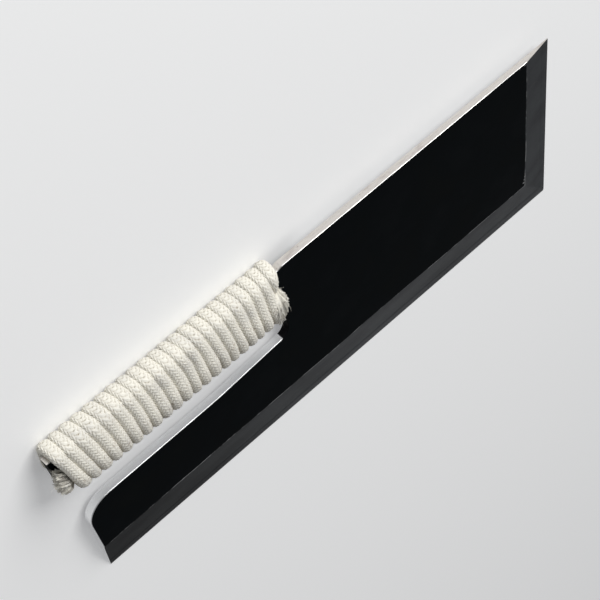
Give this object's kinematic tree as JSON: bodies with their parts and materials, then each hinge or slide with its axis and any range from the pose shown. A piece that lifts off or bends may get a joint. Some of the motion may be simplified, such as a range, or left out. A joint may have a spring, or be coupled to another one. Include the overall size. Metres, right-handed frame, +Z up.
{
  "type": "soba knife",
  "caption": "Broad noodle-cutting blade whose straight single-bevel edge runs back under a rope-wound tang, with an open finger slot between them.",
  "frame": {"origin": "centre of the bounding box's base, on the surface that the knife lies on with its back down", "axes": "+X from the rope-bound tang to the front end of the blade, +Y from the cutting edge to the spine, +Z up from the flat back to the front face"},
  "size_m": [0.3122, 0.1196, 0.0191],
  "materials": {
    "forge_scale": "black forge scale, satin, ground bright on the bevels and the spine",
    "ground_steel": "fine ground steel",
    "cotton_rope": "undyed braided cotton, matte"
  },
  "bodies": {
    "root": {"soft_iron_body": "forge_scale", "hard_steel_layer": "ground_steel", "rope_winding": "cotton_rope", "rope_tail": "cotton_rope", "rope_end_front": "cotton_rope"}
  },
  "joints": []
}
